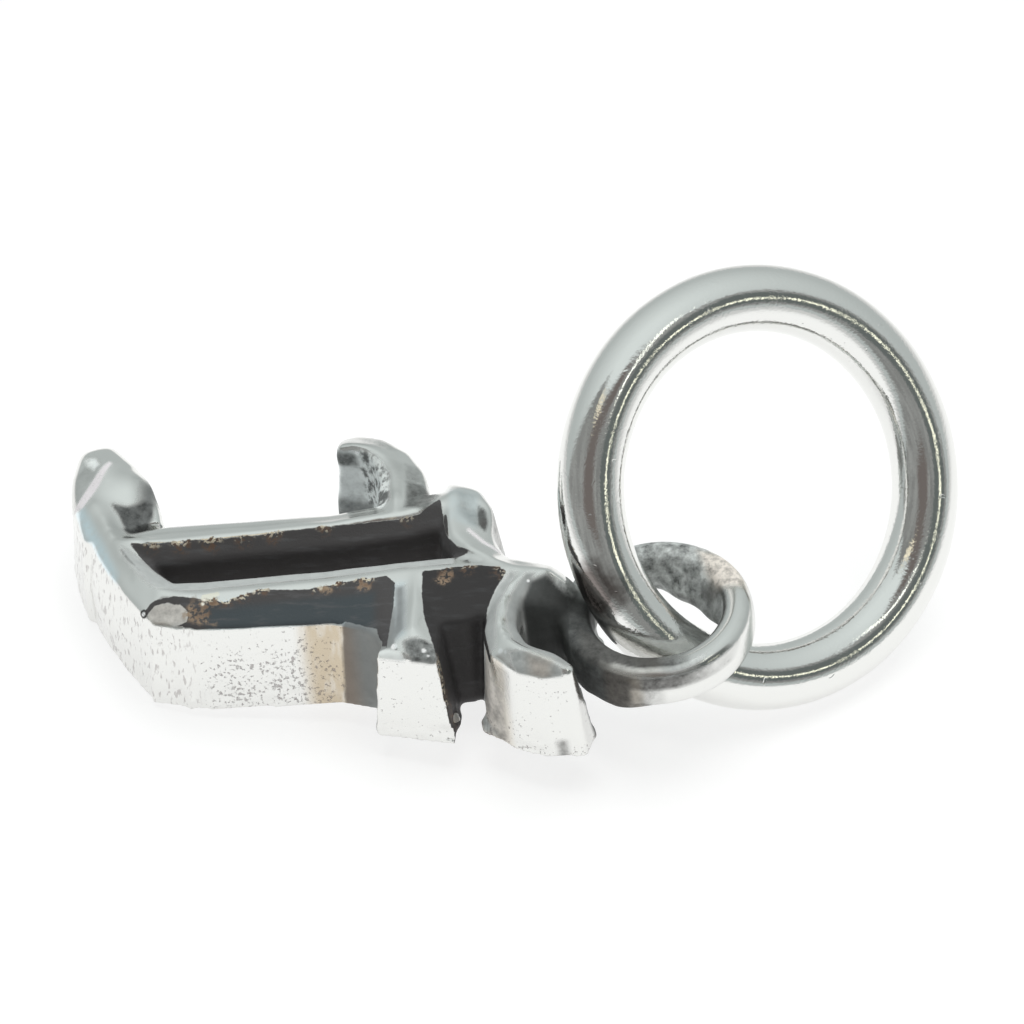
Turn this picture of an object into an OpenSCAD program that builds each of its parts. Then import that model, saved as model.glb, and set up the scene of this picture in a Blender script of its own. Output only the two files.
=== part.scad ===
// Cast silver letter charm lying on its back, with a soldered bail and a round jump ring.
// Millimetres. X runs up the letter, -Y to its right-hand side, Z up from the table.

/* [Letter] */
// Height of the walls from the flat back to the edge of the bevels
wall_h = 2.86; // [2.2:0.02:3.4]
// Height of the crest above the edge of the bevels
rise = 0.4; // [0.2:0.02:0.6]
// How far the foot of each wall stands out past its top edge
flare = 0.28; // [0.05:0.01:0.4]

/* [Bail] */
// Inner radius of the bail
bail_in = 1.76; // [1.6:0.02:1.9]
// Outer radius of the bail
bail_out = 2.6; // [2.4:0.02:2.8]
// Height of the bail's band
bail_h = 1.35; // [1:0.05:1.6]
// Rounding of the band's edges
bail_round = 0.28; // [0.1:0.02:0.35]
// Height of the band's lower face above the letter's back
bail_rise = 0.92; // [0.6:0.02:1.2]
// Place of the bail's centre up the letter
bail_up = 15.65; // [15.4:0.05:15.9]
// Place of the bail's centre towards the letter's right
bail_side = 3.25; // [3:0.05:3.5]

/* [Jump ring] */
// Radius of the ring's centre line
ring_r = 5.11; // [4.9:0.02:5.3]
// Radius of the ring's wire
wire_r = 0.91; // [0.7:0.02:1]

/* [Hidden] */
$fn = 96;

// How the charm lies: the ring props the letter's top end up, and the letter leans on its foot
pitch = 6.3;
roll = 1.85;
// Where the letter's own origin then stands, from the middle of the whole charm's footprint
stand = [-11.52, 0.82, 0.01];

// The jump ring in the letter's frame: its centre, and the line at right angles to its plane
ring_at = [18.55, 0.28, 2.92];
ring_axis = [0.515, -0.632, 0.579];

// Columns of a stroke's table. A stroke follows its crest; left and right are the widths of its
// bevels, seen from above while going down the rows, and the edges are the heights they fall to
UP = 0;
SIDE = 1;
LEFT = 2;
RIGHT = 3;
LEFT_EDGE = 4;
CREST = 5;
RIGHT_EDGE = 6;

top = wall_h;
crest = wall_h + rise;
// The stems' bevels on the letter's left fall less
high = wall_h + 0.14;
// Where a crest ends in a hip, its foot is worn a little proud of the wall's edge
hip = wall_h + 0.05;

far_stem = [
    [1.05, 0.26, 0.50, 0.45, high, crest, top],
    [2.60, 0.40, 0.80, 0.50, high, crest, top],
    [4.80, 0.32, 0.70, 0.50, high, crest, top],
    [6.95, 0.24, 0.62, 0.52, high, crest, top],
    [8.85, -0.02, 0.64, 0.60, high, crest, top],
    [10.10, -0.34, 0.64, 0.60, high, crest, top],
];

near_stem = [
    [2.30, 2.25, 0.50, 0.90, high, crest, top],
    [3.40, 2.52, 0.70, 0.95, high, crest, top],
    [6.95, 2.41, 0.67, 1.20, high, crest, top],
    [7.70, 2.34, 0.65, 1.58, high, crest, top],
    [8.30, 2.27, 0.60, 2.45, high, crest, top],
    [8.90, 2.20, 0.56, 2.50, high, crest, top],
    [9.80, 2.18, 0.60, 1.78, high, crest, top],
    [10.80, 2.23, 0.68, 1.70, high, crest, top],
    [11.90, 2.40, 0.58, 1.10, high, crest, top],
    [12.85, 2.60, 0.44, 0.90, high, crest, top],
    [13.28, 2.74, 0.42, 0.72, 2.58, 2.86, 2.58],
    [13.62, 2.88, 0.36, 0.55, 2.12, 2.20, 2.12],
];

foot = [
    [3.10, 2.52, 0.92, 0.82, top, crest, top],
    [2.37, 2.24, 0.80, 0.64, top, crest, top],
    [1.81, 1.55, 0.64, 0.58, top, crest, top],
    [1.38, 0.90, 0.54, 0.55, top, crest, top],
    [1.02, 0.10, 0.54, 0.60, top, crest, top],
    [0.70, -0.75, 0.54, 0.80, top, crest, top],
    [0.38, -1.42, 0.50, 0.90, top, crest, top],
];

spur = [
    [1.24, -0.50, 1.10, 1.08, top, top + 0.06, top],
    [1.02, -1.30, 1.12, 1.15, top, top + 0.22, top],
    [0.82, -2.10, 1.05, 1.08, top, crest, top],
    [0.66, -2.80, 0.92, 0.88, top, crest, top],
    [0.42, -3.76, 0.44, 0.44, top, hip, top],
];

horn = [
    [8.70, 0.00, 0.55, 0.85, top, crest, top],
    [8.70, -0.85, 0.50, 0.92, top, crest, top],
    [8.60, -1.70, 0.42, 0.88, top + 0.05, crest, top],
    [8.37, -2.25, 0.30, 0.80, top + 0.15, crest, top],
    [7.96, -2.62, 0.18, 0.76, top + 0.24, crest, top],
    [7.48, -2.78, 0.12, 0.74, top + 0.28, crest, top],
    [7.08, -2.80, 0.12, 0.56, top + 0.24, crest - 0.06, top],
];

brow = [
    [10.45, -1.26, 0.56, 0.40, top, hip, top],
    [10.20, -0.62, 1.12, 0.30, top, crest, top],
    [10.15, 0.20, 1.20, 0.28, top, crest, top],
    [10.26, 0.90, 1.14, 0.30, top, crest, top],
    [10.72, 1.50, 0.92, 0.40, top, crest, top],
    [11.30, 1.98, 0.58, 0.60, top, crest, top],
    [11.95, 2.38, 0.48, 0.60, top, crest, top],
];

middle_arm = [
    [9.25, 2.20, 0.70, 0.72, top, crest, top],
    [9.26, 3.40, 0.68, 0.74, top, crest, top],
    [9.19, 4.35, 0.72, 0.78, top, crest, top],
    [8.98, 5.16, 0.86, 0.80, top, hip, top],
];

top_arm = [
    [12.35, 2.50, 0.40, 0.45, top, crest, top],
    [11.82, 3.02, 0.36, 0.40, top, crest, top],
    [11.58, 3.62, 0.36, 0.42, top, crest, top],
    [11.52, 4.35, 0.40, 0.44, top, crest, top],
    [11.70, 4.98, 0.46, 0.54, top, crest, top],
    [12.15, 5.42, 0.48, 0.54, top, crest, top],
    [12.85, 5.78, 0.48, 0.46, top, crest - 0.1, top],
    [13.46, 6.02, 0.14, 0.12, top, hip, top],
];

strokes = [far_stem, near_stem, foot, spur, horn, brow, middle_arm, top_arm];

function unit(v) = v / norm(v);
function place(row) = [row[UP], -row[SIDE]];
function last(t) = len(t) - 1;
function heading(t, i) = unit(place(t[min(i + 1, last(t))]) - place(t[max(i - 1, 0)]));
function stands(row) = row[CREST] - row[RIGHT_EDGE];

// Five corners across a stroke: foot, edge, crest, edge, foot
function corners(t, i) = let(
    row = t[i],
    p = place(row),
    d = heading(t, i),
    n = [-d[1], d[0]],
    out = d * flare * (i == 0 ? -1 : i == last(t) ? 1 : 0)
) [
    concat(p + n * (row[LEFT] + flare) + out, 0),
    concat(p + n * row[LEFT], row[LEFT_EDGE]),
    concat(p, row[CREST]),
    concat(p - n * row[RIGHT], row[RIGHT_EDGE]),
    concat(p - n * (row[RIGHT] + flare) + out, 0),
];

// Two triangles between neighbouring corners; a hip's edge runs down from the crest to the corner
function panel(a, b, c, d, cross) = cross ? [[a, d, b], [b, d, c]] : [[a, d, c], [a, c, b]];

module stroke(t) {
    points = [for (i = [0:last(t)]) each corners(t, i)];
    ends = [[0, 1, 4], [1, 3, 4], [1, 2, 3]];
    e = last(t) * 5;
    sides = [
        for (i = [0:last(t) - 1]) for (j = [0:4])
            each panel(i * 5 + j, i * 5 + (j + 1) % 5, i * 5 + 5 + (j + 1) % 5, i * 5 + 5 + j,
                (j == 1) == (stands(t[i]) > stands(t[i + 1])))
    ];
    polyhedron(points, concat(ends, [for (f = ends) [f[2] + e, f[1] + e, f[0] + e]], sides));
}

module bail() {
    w = bail_out - bail_in;
    r = bail_round;
    translate([bail_up, -bail_side, bail_rise])
        rotate_extrude()
            translate([bail_in, 0]) {
                translate([0, r]) square([w, bail_h - 2 * r]);
                translate([r, 0]) square([w - 2 * r, bail_h]);
                for (x = [r, w - r]) for (y = [r, bail_h - r]) translate([x, y]) circle(r, $fn = 32);
            }
}

// Turns the letter from flat on its back to how it lies on the table
module laid() {
    translate(stand) rotate([roll, 0, 0]) rotate([0, -pitch, 0]) children();
}

module letter() color([0.72, 0.71, 0.68]) laid() union() {
    for (t = strokes) stroke(t);
    bail();
}

module jump_ring() color([0.8, 0.79, 0.75]) laid()
    translate(ring_at)
        rotate([0, acos(ring_axis[2] / norm(ring_axis)), atan2(ring_axis[1], ring_axis[0])])
            rotate_extrude() translate([ring_r, 0]) circle(wire_r, $fn = 48);

letter();
jump_ring();
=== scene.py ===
# Cast silver letter charm with its jump ring, lying on a pale table
import math
import bpy
import bmesh
import numpy
from mathutils import Matrix, Vector, noise


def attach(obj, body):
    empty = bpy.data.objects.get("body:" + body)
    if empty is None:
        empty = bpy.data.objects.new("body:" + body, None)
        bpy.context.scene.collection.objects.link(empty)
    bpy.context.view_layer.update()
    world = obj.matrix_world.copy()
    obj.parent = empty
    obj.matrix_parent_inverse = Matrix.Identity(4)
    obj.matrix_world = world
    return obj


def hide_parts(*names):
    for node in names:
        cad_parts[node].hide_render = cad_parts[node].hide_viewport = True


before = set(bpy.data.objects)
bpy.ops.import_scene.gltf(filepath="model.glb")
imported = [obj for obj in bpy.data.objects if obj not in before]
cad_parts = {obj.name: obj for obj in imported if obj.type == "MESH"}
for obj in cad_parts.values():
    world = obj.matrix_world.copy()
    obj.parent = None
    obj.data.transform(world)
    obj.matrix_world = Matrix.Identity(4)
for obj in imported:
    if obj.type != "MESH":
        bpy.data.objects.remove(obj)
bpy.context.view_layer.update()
scene = bpy.context.scene
print("frame loaded:", ", ".join(sorted(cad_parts)))

millimetre = 0.001

# How the letter lies: its own flat frame, in millimetres, against the table in metres
lie = {"pitch": 6.3, "roll": 1.85, "stand": (-11.52, 0.82, 0.01)}
toTable = (Matrix.Scale(millimetre, 4) @ Matrix.Translation(lie["stand"])
           @ Matrix.Rotation(math.radians(lie["roll"]), 4, "X")
           @ Matrix.Rotation(math.radians(-lie["pitch"]), 4, "Y"))
toLetter = toTable.inverted()


def addObject(name, data):
    thing = bpy.data.objects.new(name, data)
    scene.collection.objects.link(thing)
    return thing


def meshFrom(bm, name):
    mesh = bpy.data.meshes.new(name)
    bm.to_mesh(mesh)
    bm.free()
    mesh.shade_smooth()
    return mesh


def appliedMesh(thing, name):
    # the mesh with its modifiers, and without the object
    graph = bpy.context.evaluated_depsgraph_get()
    mesh = bpy.data.meshes.new_from_object(thing.evaluated_get(graph))
    mesh.name = name
    bpy.data.objects.remove(thing)
    return mesh


def smoothStep(low, high, value):
    t = numpy.clip((value - low) / (high - low), 0.0, 1.0)
    return t * t * (3 - 2 * t)


def within(span, soft, values):
    return (smoothStep(span[0] - soft, span[0] + soft, values)
            * smoothStep(span[1] + soft, span[1] - soft, values))


def mixed(share, full, rest):
    return full * share + rest * (1 - share)


def insideBy(plan, loop):
    # how far each plan point lies inside a closed outline; less than zero outside it
    near = numpy.full(len(plan), 1e9)
    inside = numpy.zeros(len(plan), bool)
    for i, (bx, by) in enumerate(loop):
        ax, ay = loop[i - 1]
        ex, ey = bx - ax, by - ay
        x, y = plan[:, 0] - ax, plan[:, 1] - ay
        t = numpy.clip((x * ex + y * ey) / (ex * ex + ey * ey), 0.0, 1.0)
        near = numpy.minimum(near, numpy.hypot(x - t * ex, y - t * ey))
        crossed = (ay > plan[:, 1]) != (by > plan[:, 1])
        inside ^= crossed & (x < y * ex / (ey or 1e-9))
    return numpy.where(inside, near, -near)


# Camera

view = {
    "lookAt": (-0.0000575, 0.0009461, 0.0040007),
    "distance": 0.3,
    "azimuth": 0.29,
    "elevation": 43.15,
    "tilt": 0.41,
    "acrossFrame": 0.027676,  # width of the picture at that distance
    "sensor": 36.0,
    "clip": (0.005, 20.0),
}

turn = (Matrix.Rotation(math.radians(-view["azimuth"]), 4, "Z")
        @ Matrix.Rotation(math.radians(90 - view["elevation"]), 4, "X"))
camera = addObject("camera", bpy.data.cameras.new("camera"))
camera.data.sensor_width = view["sensor"]
camera.data.lens = view["sensor"] * view["distance"] / view["acrossFrame"]
camera.data.clip_start, camera.data.clip_end = view["clip"]
eye = Vector(view["lookAt"]) + turn @ Vector((0, 0, view["distance"]))
camera.matrix_world = Matrix.Translation(eye) @ turn @ Matrix.Rotation(math.radians(view["tilt"]), 4, "Z")
scene.camera = camera
print("camera placed")


# Letter: places are up the letter, to its right and above its back, in millimetres

letter = {
    "voxel": 0.072,
    "passes": 11,               # how often the whole casting is smoothed
    "roundedAbove": (0.2, 0.6),   # the extra rounding starts here, above the flat back
    "movedAbove": (0.05, 0.16),   # and so do dents and waves
    "blend": 0.15,              # how softly a part turns into the next
    "wave": 0.012,              # how far the cast faces wander
    "waveSize": 0.9,
    "slowSize": 1.3,            # of the noises that shift painted edges
    "crumbleSize": 3.2,
    "edgeWander": (0.04, 0.02),   # and how far each of them does
    "footRough": 0.05,          # how ragged the walls' feet are
    "footHeights": (0.9, 0.15),
    "tornFoot": 0.13,           # and where the two arms' feet nearly meet
    "tornUp": (9.5, 11.3),
    "tornSide": (4.6, 4.9),
    "topTilt": (0.35, 0.62),    # how upright a normal is where walls end and bevels start
    "lowestBevel": 1.5,         # what faces up below this height is a foot, not a bevel
    "endWall": 4.9,             # how far to the right the arms' polished end walls start
    "endWallFacing": 0.6,       # what faces further up or down the letter is not an end wall
}

# Where the casting is rounder: extra passes, from and to up the letter, from and to the right
rounder = {
    "spur": (60, (-1.0, 2.5), (-5.0, -0.8)),
    "foot": (16, (-1.0, 1.9), (-0.8, 3.0)),
    "horn": (24, (6.4, 9.6), (-4.0, -0.9)),
    "brow": (26, (9.9, 12.0), (-2.2, 1.3)),
    "topArm": (26, (11.2, 13.2), (3.1, 5.6)),
    "bail": (80, (13.75, 19.0), (0.0, 7.0)),
}

# Dents and swellings: centre, radius, and how far it goes out, or in if less than zero
pressed = {
    "spurDome": ((1.50, -2.05, 3.0), 0.80, 0.12),
    "spurScoop": ((1.75, -0.95, 2.9), 0.62, -0.17),
    "footWall": ((0.50, 0.90, 1.4), 1.80, 0.17),
    "cornerFacet": ((2.55, 3.0, 3.0), 0.55, -0.05),
    "hornWall": ((7.35, -2.5, 2.0), 1.0, -0.08),
    "hornHollow": ((8.25, -1.6, 2.6), 0.55, -0.09),
    "browHollow": ((10.78, -0.15, 3.05), 0.50, -0.11),
    "armTip": ((9.45, 5.05, 3.0), 0.42, -0.06),
    "middleFoot": ((10.15, 5.1, 0.1), 0.60, 0.15),
    "topFoot": ((10.90, 5.4, 0.1), 0.75, 0.20),
    "topArmRollA": ((12.15, 3.20, 2.95), 0.50, 0.06),
    "topArmRollB": ((11.95, 3.90, 2.95), 0.60, 0.10),
    "topArmRollC": ((12.05, 4.55, 2.95), 0.50, 0.08),
    "topArmTip": ((12.55, 5.85, 3.0), 0.50, -0.05),
}

# Where black is left on the bevels: outlines in plan
blackTops = {
    "counter": [
        (1.48, 0.34), (2.05, 0.43), (2.86, 0.43), (3.95, 0.43), (4.77, 0.40), (6.13, 0.32),
        (6.94, 0.29), (7.75, 0.22), (8.84, 0.14), (9.38, 0.01), (9.72, -0.26), (9.93, -0.46),
        (10.00, 0.05), (10.03, 0.63), (10.14, 0.95), (10.40, 1.28), (10.78, 1.62), (9.90, 1.68),
        (8.86, 1.66), (7.70, 1.74), (6.95, 1.80), (4.78, 1.85), (3.40, 1.88), (2.95, 1.82),
        (2.52, 1.62), (2.22, 1.30), (1.92, 0.92)],
    "nearBevel": [
        (1.84, 2.78), (2.08, 2.56), (2.36, 2.50), (2.75, 2.50), (3.45, 2.66), (4.13, 2.75),
        (4.53, 2.67), (5.07, 2.50), (6.16, 2.60), (6.70, 2.58), (7.24, 2.46), (7.78, 2.40),
        (8.50, 2.36), (8.74, 2.60), (8.68, 3.30), (8.56, 4.20), (8.50, 4.80), (8.30, 4.60),
        (8.22, 4.02), (7.76, 3.78), (7.35, 3.62), (7.10, 3.9), (6.14, 3.90), (4.78, 3.90),
        (3.43, 3.80), (2.20, 3.62), (1.86, 3.20)],
    "betweenArms": [
        (9.46, 2.26), (9.94, 2.26), (10.34, 2.21), (11.02, 2.20), (11.56, 2.34), (11.75, 2.52),
        (11.42, 3.00), (11.20, 3.60), (11.10, 4.34), (11.14, 5.20), (11.3, 6.6), (9.9, 6.6),
        (9.90, 5.40), (9.52, 4.00), (9.44, 3.10)],
}
cornerFacet = [
    (2.00, 2.84), (2.22, 2.66), (2.55, 2.64), (2.95, 2.78), (3.12, 3.00), (3.06, 3.24), (2.60, 3.33),
    (2.22, 3.24), (2.02, 3.05)]

# Walls that the polishing never reached: loose outlines in plan, round their top edges
blackWalls = {
    "counter": [
        (1.1, 0.3), (1.8, 0.7), (3.0, 0.72), (6.0, 0.68), (8.8, 0.45), (9.5, -0.3), (10.3, -0.6),
        (10.4, 0.6), (11.3, 1.7), (9.9, 1.95), (3.0, 2.05), (2.1, 1.75), (1.2, 0.95)],
    "betweenArms": [
        (9.70, 3.0), (9.75, 4.4), (9.85, 5.5), (9.95, 7.0), (11.0, 7.2), (11.30, 5.15), (11.40, 3.6),
        (12.0, 2.6), (9.8, 2.6)],
}

# Softer tarnish, and painted shade and shadows where noted: strength, softness of its edge, heights it
# spans, outline in plan
tarnishAndPaintedShadeZones = {
    "topArmStain": (0.60, 0.12, (-1.0, 0.6), [(12.86, 6.0), (13.05, 6.0), (13.08, 7.0), (12.84, 7.0)]),
    "hornTop": (0.16, 0.10, (2.8, 3.5), [
        (6.9, -3.4), (8.6, -3.2), (8.7, -2.6), (7.9, -2.7), (6.9, -2.7)]),
    "farLine": (0.12, 0.06, (2.9, 3.4), [
        (1.6, 0.06), (6.5, 0.02), (8.4, -0.16), (8.4, -0.28), (6.5, -0.12), (1.6, -0.06)]),
    "hornBand": (0.15, 0.12, (2.9, 3.5), [(8.45, -2.2), (8.95, -2.0), (8.95, -0.6), (8.45, -0.6)]),
    "hornBevel": (0.70, 0.11, (2.7, 3.4), [
        (9.00, -1.35), (9.45, -1.35), (9.85, -0.7), (9.6, 0.0), (8.98, -0.30)]),
    "hornBevelTop": (0.40, 0.14, (2.7, 3.4), [(8.96, -2.05), (9.3, -2.0), (9.55, -1.3), (9.00, -1.2)]),
    "browHollow": (0.30, 0.12, (2.7, 3.4), [
        (10.42, -0.80), (10.85, -0.70), (11.12, -0.1), (11.08, 0.6), (10.70, 0.42), (10.44, -0.2)]),
    "browPatch": (0.86, 0.06, (2.7, 3.4), [
        (10.94, -0.36), (11.10, -0.22), (11.18, 0.25), (11.12, 0.66), (10.99, 0.42), (10.92, 0.05)]),
    "browWall": (0.54, 0.12, (-1.0, 2.8), [
        (10.4, -2.4), (12.0, -2.4), (13.0, 2.6), (12.0, 2.6), (11.2, 1.6), (10.6, 0.6), (10.4, -1.0)]),
    # painted shadow: a dark band low along the bail's foot, by the table
    "bailFootShadow": (0.74, 0.10, (0.4, 1.18), [(13.8, 5.0), (15.3, 5.4), (15.6, 6.4), (13.8, 6.2)]),
    # painted shadow: a dark line along the edge of the spur's scoop
    "spurEdgeShadow": (0.90, 0.05, (1.0, 3.4), [
        (0.98, -1.30), (1.25, -1.18), (1.40, -0.86), (1.72, -0.34), (1.58, -0.26), (1.28, -0.62),
        (1.08, -1.0)]),
    # painted shade: the spur's dome made darker towards its right side
    "spurDome": (0.46, 0.28, (1.0, 3.4), [
        (1.62, -2.2), (2.1, -2.3), (2.3, -1.6), (1.95, -1.3), (1.62, -1.5)]),
    "spurLeft": (0.20, 0.12, (2.0, 3.4), [
        (-0.2, -1.5), (0.22, -1.55), (0.66, -2.7), (0.45, -3.1), (-0.1, -2.6)]),
    # painted shade: a faint darker band along the foot's crest
    "footCrestShade": (0.14, 0.14, (2.9, 3.5), [
        (0.95, -1.0), (1.35, -0.2), (1.6, 0.6), (1.9, 1.3), (1.6, 1.7), (1.2, 0.9), (0.8, -0.4)]),
}

# Faces that don't mirror: how pale and how mottled, softness of the edge, heights spanned, outline in plan.
# A later one lies over the ones before it.
matt = {
    "footInside": (0.53, 0.1, 0.07, (2.7, 3.4), [
        (1.26, 0.52), (1.60, 0.60), (1.92, 0.92), (2.22, 1.30), (2.52, 1.62), (2.95, 1.76),
        (4.2, 1.74), (7.0, 1.68), (10.3, 1.62), (10.3, 2.00), (7.0, 2.18), (4.2, 2.26), (2.90, 2.30),
        (2.25, 2.15), (1.85, 1.75), (1.55, 1.25), (1.34, 0.85)]),
    "footCrease": (0.26, 0.3, 0.03, (2.7, 3.5), [
        (1.22, 0.56), (1.29, 0.58), (1.50, 0.95), (1.82, 1.44), (1.77, 1.47), (1.44, 1.01)]),
    "spurBlot": (0.80, 0.4, 0.09, (2.5, 3.5), [
        (0.16, -3.20), (0.42, -3.08), (0.56, -2.78), (0.44, -2.58), (0.26, -2.85)]),
    "spurShade": (0.20, 0.2, 0.20, (2.2, 3.3), [
        (1.84, -2.20), (2.14, -2.10), (2.20, -1.70), (2.04, -1.36), (1.70, -1.44)]),
    "spurScoop": (0.13, 0.7, 0.08, (1.0, 3.3), [
        (0.96, -1.30), (1.35, -1.26), (1.70, -1.42), (1.95, -1.62), (2.07, -1.42), (2.06, -1.00),
        (1.95, -0.62), (1.74, -0.32), (1.50, -0.16), (1.34, -0.36), (1.20, -0.75), (1.04, -1.08)]),
    # painted shadow: a dark crescent at the foot of the spur's scoop
    "spurScoopShadow": (0.05, 0.5, 0.08, (1.0, 3.1), [
        (1.28, -0.42), (1.52, -0.50), (1.80, -0.46), (1.95, -0.22), (1.60, -0.10), (1.40, -0.22)]),
    "armCorner": (0.29, 0.05, 0.04, (-1.0, 3.4), [
        (7.36, 3.4), (7.34, 3.62), (7.05, 3.88), (6.85, 4.4), (7.80, 5.2), (8.25, 4.80), (8.7, 4.9),
        (8.7, 3.4)]),
    "middleArmLeft": (0.31, 0.1, 0.13, (2.9, 3.4), [
        (8.72, 2.70), (8.99, 2.70), (8.98, 4.3), (8.62, 4.7)]),
    "middleArmEdge": (0.92, 0.0, 0.05, (2.79, 3.06), [
        (8.05, 4.80), (8.6, 4.84), (8.86, 4.98), (8.98, 5.2), (8.9, 5.4), (8.05, 5.4)]),
    "middleArmTip": (0.24, 0.9, 0.05, (2.80, 3.4), [
        (8.96, 4.70), (9.30, 4.64), (9.74, 4.78), (9.98, 5.24), (9.72, 5.56), (9.25, 5.35),
        (9.0, 5.02)]),
    "topArmLeft": (0.50, 0.1, 0.10, (2.6, 3.5), [
        (11.85, 2.50), (12.0, 2.58), (11.74, 3.05), (11.50, 3.62), (11.40, 4.34), (11.43, 5.1),
        (11.15, 5.2), (11.08, 4.34), (11.18, 3.55), (11.46, 2.95)]),
    "topArmRight": (0.42, 0.1, 0.08, (2.2, 3.5), [
        (12.52, 2.62), (12.12, 3.31), (12.02, 3.68), (11.96, 4.05), (12.01, 4.40), (12.12, 4.62),
        (12.53, 4.92), (13.45, 5.70), (13.3, 6.02), (12.20, 5.26), (11.90, 5.00), (11.76, 4.5),
        (11.72, 4.05), (11.78, 3.6), (11.93, 3.2), (12.25, 2.6)]),
    "armHollow": (0.088, 0.15, 0.11, (-1.0, 3.4), [
        (12.34, 2.84), (12.22, 3.12), (12.10, 3.50), (12.03, 3.9), (12.07, 4.3), (12.22, 4.68),
        (12.62, 5.02), (13.15, 5.44), (13.6, 5.90), (14.1, 5.9), (14.1, 3.0), (13.6, 2.50),
        (13.2, 2.90), (12.8, 2.66)]),
    "hollowPatch": (0.62, 1.0, 0.07, (2.4, 3.3), [
        (13.0, 2.66), (13.30, 2.70), (13.45, 2.86), (13.26, 2.98), (13.02, 2.86)]),
    "topArmTip": (0.41, 0.3, 0.05, (2.8, 3.4), [
        (11.78, 5.38), (12.12, 5.44), (12.62, 5.68), (13.2, 6.02), (13.25, 6.3), (12.8, 6.4),
        (12.25, 6.2), (11.85, 5.8)]),
    "topArmFoot": (0.62, 0.5, 0.12, (-1.0, 1.9), [
        (10.4, 3.9), (11.0, 4.2), (11.25, 4.9), (11.42, 5.5), (11.52, 6.3), (10.4, 6.3)]),
    "topArmSide": (0.85, 0.3, 0.08, (1.0, 2.85), [
        (10.70, 3.98), (11.12, 4.1), (11.22, 4.6), (11.26, 5.4), (10.8, 5.7)]),
    "hornWall": (0.84, 0.2, 0.12, (-1.0, 3.02), [
        (6.4, -2.74), (7.55, -2.70), (7.9, -2.5), (8.24, -2.0), (8.3, -0.8), (7.7, -0.4), (6.4, -1.2)]),
    "hornPatch": (0.28, 0.8, 0.11, (2.58, 3.06), [
        (6.8, -3.0), (7.56, -3.0), (7.62, -2.45), (6.8, -2.30)]),
    "hornCrystals": (0.74, 1.9, 0.08, (1.3, 3.3), [
        (7.68, -2.66), (7.95, -2.52), (8.30, -2.1), (8.52, -1.6), (8.54, -0.7), (8.30, -0.4),
        (8.05, -0.6), (8.0, -1.4), (7.78, -2.2)]),
    "hornFoot": (0.30, 0.5, 0.18, (-1.0, 1.40), [
        (6.4, -2.9), (7.9, -2.9), (8.4, -2.0), (8.5, -0.4), (6.4, -0.4)]),
    "cornerFacet": (0.55, 0.35, 0.04, (2.86, 3.4), cornerFacet),
}

# Coloured film, brown above zero and blue below: strength, softness, whether on the top, outline in plan
filmed = {
    "nearWall": (0.85, 0.30, False, [(6.22, 3.2), (7.6, 3.2), (7.45, 4.3), (6.02, 4.3)]),
    "cornerFacet": (0.35, 0.08, True, [
        (2.00, 2.8), (2.22, 2.6), (2.95, 2.7), (3.2, 3.00), (3.1, 3.3), (2.02, 3.2)]),
    "topArmTip": (0.50, 0.20, True, [(12.3, 5.6), (12.9, 5.8), (12.9, 6.3), (12.3, 6.2)]),
    "topArmFoot": (0.40, 0.15, False, [(10.7, 4.4), (11.6, 5.0), (11.6, 6.3), (10.6, 6.3)]),
    "footBevel": (-1.0, 0.14, True, [
        (-0.1, -1.3), (0.16, -1.3), (0.76, 0.2), (1.16, 1.3), (1.05, 1.9), (0.6, 0.9)]),
    "nearBevel": (-1.0, 0.30, True, [(3.6, 2.9), (8.2, 2.8), (8.2, 4.0), (3.6, 4.0)]),
    "middleArm": (-0.6, 0.15, True, [(8.6, 2.6), (9.0, 2.6), (9.0, 4.5), (8.6, 4.7)]),
    "hornWall": (-0.35, 0.15, False, [(6.4, -2.9), (7.9, -2.9), (8.4, -2.0), (8.5, -0.4), (6.4, -0.4)]),
    "brow": (-0.3, 0.15, True, [(10.1, -1.0), (11.0, -0.9), (10.9, 0.6), (10.2, 0.4)]),
    "bailWall": (0.45, 0.14, False, [(14.2, 4.9), (15.0, 5.5), (15.2, 5.6), (15.2, 6.4), (14.2, 6.0)]),
    "bailTop": (0.18, 0.20, True, [(13.6, 4.0), (15.8, 4.8), (15.8, 6.4), (13.6, 6.4)]),
    "bailWorn": (0.50, 0.15, True, [(16.8, 1.3), (18.1, 1.6), (18.1, 2.8), (17.2, 2.7)]),
}

# Painted highlights: narrow pale strokes along the crests that stand in for white reflections and don't
# mirror; outlines in plan
paintedHighlightStrokes = {
    "spurCrease": [
        (0.86, -2.90), (0.92, -2.80), (0.60, -2.00), (0.14, -1.30), (-0.14, -1.40), (0.34, -2.12)],
    "browStroke": [
        (10.70, 0.62), (11.14, 1.12), (11.56, 1.46), (11.54, 1.58), (11.08, 1.24), (10.64, 0.72)],
    "farEdge": [(2.6, -0.52), (6.7, -0.56), (6.7, -0.34), (2.6, -0.28)],
}

# Rust-brown patches over the black: plan place and radius
rusty = [
    ((3.42, 2.98), 0.46), ((3.75, 2.78), 0.24), ((10.05, 2.52), 0.26), ((7.9, 2.55), 0.2),
    ((6.9, 2.62), 0.2)]

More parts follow.
